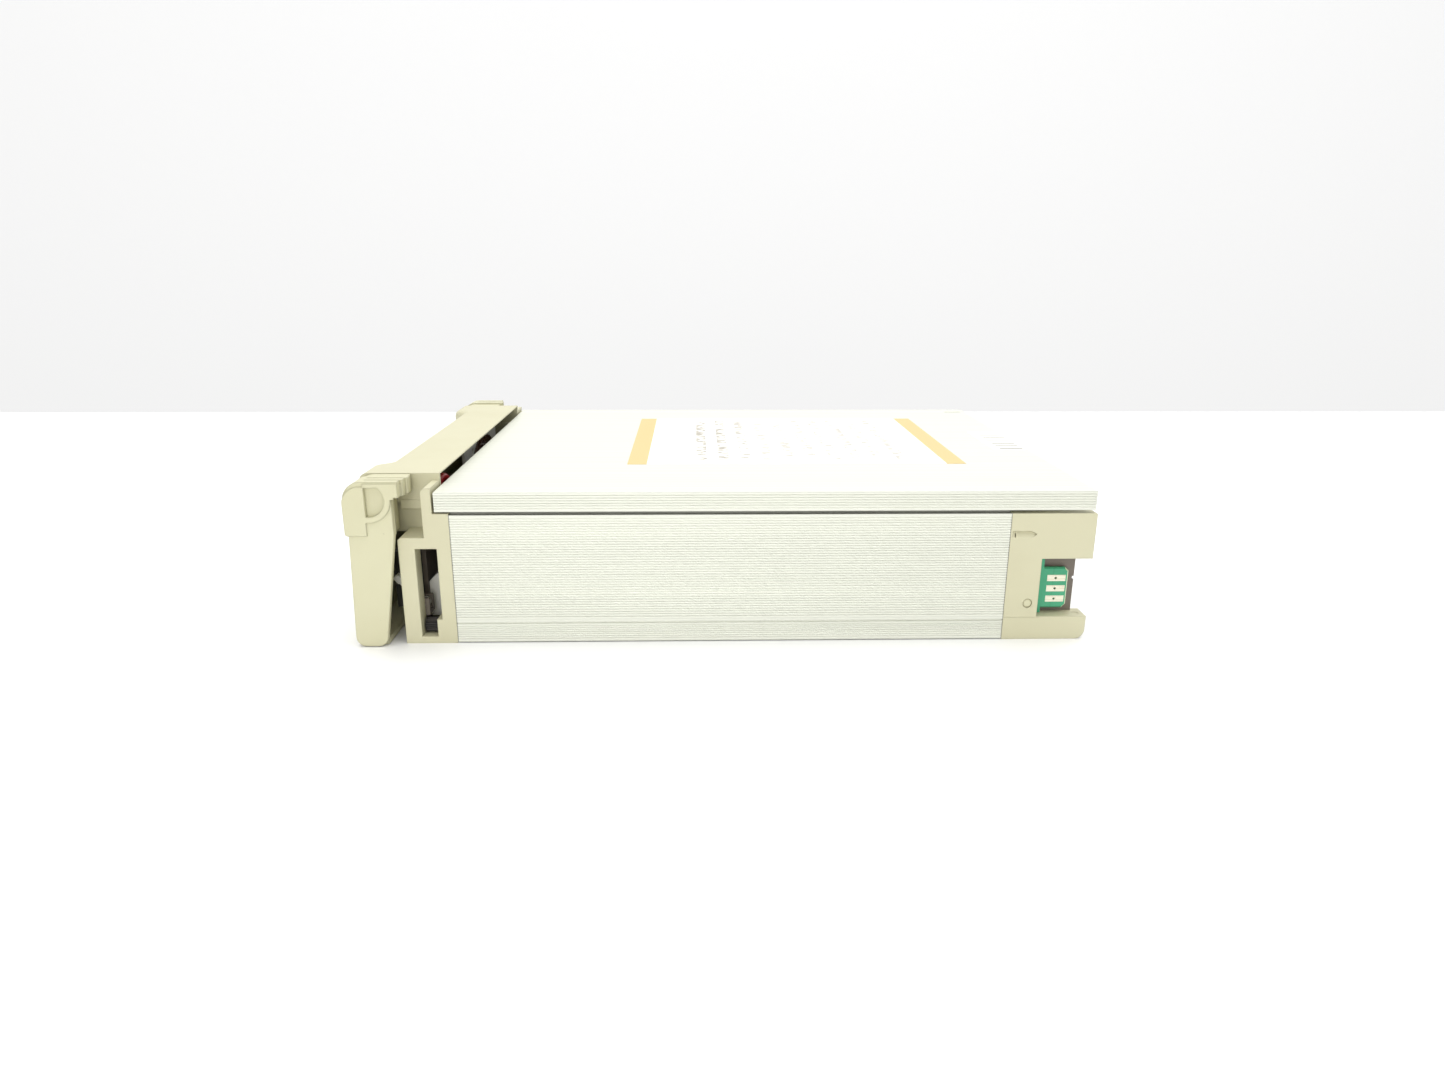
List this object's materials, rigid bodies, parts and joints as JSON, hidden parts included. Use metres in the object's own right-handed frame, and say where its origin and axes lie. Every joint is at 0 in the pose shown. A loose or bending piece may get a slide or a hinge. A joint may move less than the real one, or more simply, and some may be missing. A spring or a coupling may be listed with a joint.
{
  "type": "din rail power supply",
  "caption": "Plug-in power supply module with a ribbed aluminium case, moulded end frames, hinged terminal cover, edge connector tongue and a spring-latched rail foot.",
  "frame": {"origin": "centre of the extruded case's resting side", "axes": "+X from the terminal end to the rail end, +Y from the connector side to the far side, +Z across the module's width, up as it lies on its side"},
  "size_m": [0.2667, 0.1909, 0.06],
  "materials": {
    "ribbed_aluminium": "extruded, fine lengthwise ribs, natural matt",
    "beige_plastic": "moulded, light grain",
    "cream_plastic": "moulded, slightly yellowed, light grain",
    "grey_plastic": "glass-filled moulding",
    "dark_plate": "dark laminate",
    "white_plastic": "small moulding, smooth",
    "orange_plastic": "moulded slide",
    "circuit_board": "glass-fibre laminate under green solder mask",
    "tinned_pads": "tin plate with insertion marks",
    "zinc_steel": "zinc plated",
    "black_steel": "black oxide, knurled",
    "brass_spacer": "turned hexagon stock",
    "insulation": "pressed insulating board",
    "ferrite": "sintered ferrite",
    "tape_wound": "yellow winding tape",
    "dark_winding": "enamelled wire, dark",
    "wound_ring": "enamelled wire on a ring core",
    "pale_plate": "pale moulding",
    "black_sleeve": "shrink sleeve over an aluminium can",
    "yellow_film": "film capacitor case",
    "black_epoxy": "moulded epoxy",
    "blue_epoxy": "dipped epoxy",
    "heatsink": "sawn bar",
    "fuse_glass": "clear tube with caps",
    "terminal_black": "moulded terminal block",
    "trimmer_white": "slotted adjuster",
    "lamp_lens": "tinted lens",
    "red_insulation": "wire insulation",
    "black_insulation": "wire insulation",
    "label_paper": "matt self-adhesive label"
  },
  "bodies": {
    "case": {"barcode_label": "label_paper", "board_screws": "zinc_steel", "board_spacers": "brass_spacer", "bridge_rectifier": "black_epoxy", "bulk_capacitors": "black_sleeve", "bus_board": "circuit_board", "bus_contacts": "tinned_pads", "case_body": "ribbed_aluminium", "case_cover": "ribbed_aluminium", "choke_core": "ferrite", "choke_end_plate": "pale_plate", "choke_winding": "dark_winding", "filter_chokes": "wound_ring", "foot_screws": "zinc_steel", "frame_plugs": "cream_plastic", "front_board": "dark_plate", "front_frame": "beige_plastic", "front_screws": "black_steel", "fuse": "fuse_glass", "fuse_clips": "zinc_steel", "heatsink_bar": "heatsink", "hinge_pins": "zinc_steel", "insulating_sheet": "insulation", "latch_spring": "zinc_steel", "lever_bracket": "dark_plate", "line_capacitor": "yellow_film", "main_board": "circuit_board", "output_capacitors": "black_sleeve", "power_transistors": "black_epoxy", "rail_foot": "grey_plastic", "rating_label": "label_paper", "rear_frame": "beige_plastic", "rear_guard": "dark_plate", "rear_screws": "zinc_steel", "red_lead": "red_insulation", "relay": "white_plastic", "status_lamps": "lamp_lens", "supply_leads": "black_insulation", "terminal_block": "terminal_black", "terminal_screws": "zinc_steel", "transformer_coil": "tape_wound", "transformer_core": "ferrite", "transistor_screws": "zinc_steel", "trimmer_body": "blue_epoxy", "varistor": "blue_epoxy"},
    "terminal_cover": {"terminal_cover": "cream_plastic"},
    "rail_latch": {"rail_latch": "orange_plastic"},
    "trimmer": {"trimmer_rotor": "trimmer_white"},
    "lever": {"release_lever": "white_plastic"}
  },
  "joints": [
    {"name": "cover_hinge", "type": "hinge", "parent": "case", "child": "terminal_cover", "pos_m": [-0.1246, 0, 0.0539], "axis": [0, 1, 0], "range_deg": [-5, 105]},
    {"name": "rail_latch_slide", "type": "slide", "parent": "case", "child": "rail_latch", "axis": [0, 1, 0], "range_m": [0, 0.0035], "stiffness_N_per_m": 900, "springref_m": -0.002, "deforming": ["latch_spring"]},
    {"name": "trimmer_turn", "type": "hinge", "parent": "case", "child": "trimmer", "pos_m": [-0.1163, 0.057, 0.018], "axis": [-1, 0, 0], "range_deg": [-135, 135]},
    {"name": "lever_swing", "type": "hinge", "parent": "case", "child": "lever", "pos_m": [-0.1117, -0.0813, 0.012], "axis": [0, -1, 0], "range_deg": [-5, 25]}
  ]
}
